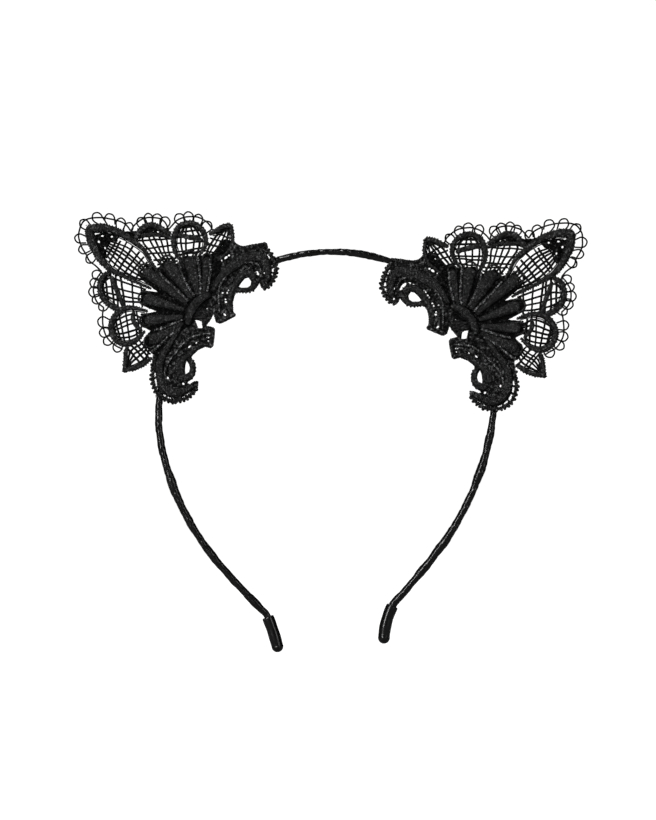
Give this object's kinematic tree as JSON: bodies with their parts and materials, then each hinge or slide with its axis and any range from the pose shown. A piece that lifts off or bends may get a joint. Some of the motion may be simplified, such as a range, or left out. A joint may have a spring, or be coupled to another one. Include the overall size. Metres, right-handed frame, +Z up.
{
  "type": "animal ears headband",
  "caption": "Headband of ribbon-wound spring wire with capped tips, carrying upright corded guipure lace animal ears with net, fan ribs and picot edges.",
  "frame": {"origin": "the inner face of the band at its crown, where it rests on the head", "axes": "+Z up, +X to the wearer's left as seen from the front, -Y out of the front of the lace"},
  "size_m": [0.2055, 0.0058, 0.1766],
  "materials": {
    "spring_wire": "drawn spring steel wire, hidden by the ribbon",
    "satin_ribbon": "black polyester satin ribbon with a soft sheen, wound round the wire",
    "black_vinyl": "glossy black moulded vinyl",
    "lace_thread": "fine black polyester thread",
    "lace_ground": "dense black machine stitching",
    "satin_stitch": "padded satin stitch in black polyester thread, slightly shiny along the threads",
    "corded_stitch": "tightly wound black corded stitching",
    "sewing_thread": "black sewing thread"
  },
  "bodies": {
    "root": {"band_wire": "spring_wire", "ribbon_wrap": "satin_ribbon", "left_tip_cap": "black_vinyl", "right_tip_cap": "black_vinyl", "left_petal_1": "corded_stitch", "left_petal_2": "corded_stitch", "left_petal_3": "corded_stitch", "left_petal_4": "corded_stitch", "left_petal_5": "corded_stitch", "left_petal_6": "corded_stitch", "left_petal_7": "corded_stitch", "left_petal_bars": "satin_stitch", "left_net": "lace_thread", "left_ground": "lace_ground", "left_picots": "lace_thread", "left_fan_ribs": "satin_stitch", "left_rib_rings": "corded_stitch", "left_fan_base": "satin_stitch", "left_scroll_upper": "satin_stitch", "left_scroll_lower": "satin_stitch", "left_scroll_ground": "lace_ground", "left_beads_upper": "corded_stitch", "left_beads_lower": "corded_stitch", "left_eyelet_upper": "corded_stitch", "left_eyelet_lower": "corded_stitch", "left_collar_upper": "lace_ground", "left_collar_lower": "lace_ground", "left_bud": "corded_stitch", "left_stitches": "sewing_thread", "right_petal_1": "corded_stitch", "right_petal_2": "corded_stitch", "right_petal_3": "corded_stitch", "right_petal_4": "corded_stitch", "right_petal_5": "corded_stitch", "right_petal_6": "corded_stitch", "right_petal_7": "corded_stitch", "right_petal_bars": "satin_stitch", "right_net": "lace_thread", "right_ground": "lace_ground", "right_picots": "lace_thread", "right_fan_ribs": "satin_stitch", "right_rib_rings": "corded_stitch", "right_fan_base": "satin_stitch", "right_scroll_upper": "satin_stitch", "right_scroll_lower": "satin_stitch", "right_scroll_ground": "lace_ground", "right_beads_upper": "corded_stitch", "right_beads_lower": "corded_stitch", "right_eyelet_upper": "corded_stitch", "right_eyelet_lower": "corded_stitch", "right_collar_upper": "lace_ground", "right_collar_lower": "lace_ground", "right_bud": "corded_stitch", "right_stitches": "sewing_thread"}
  },
  "joints": []
}
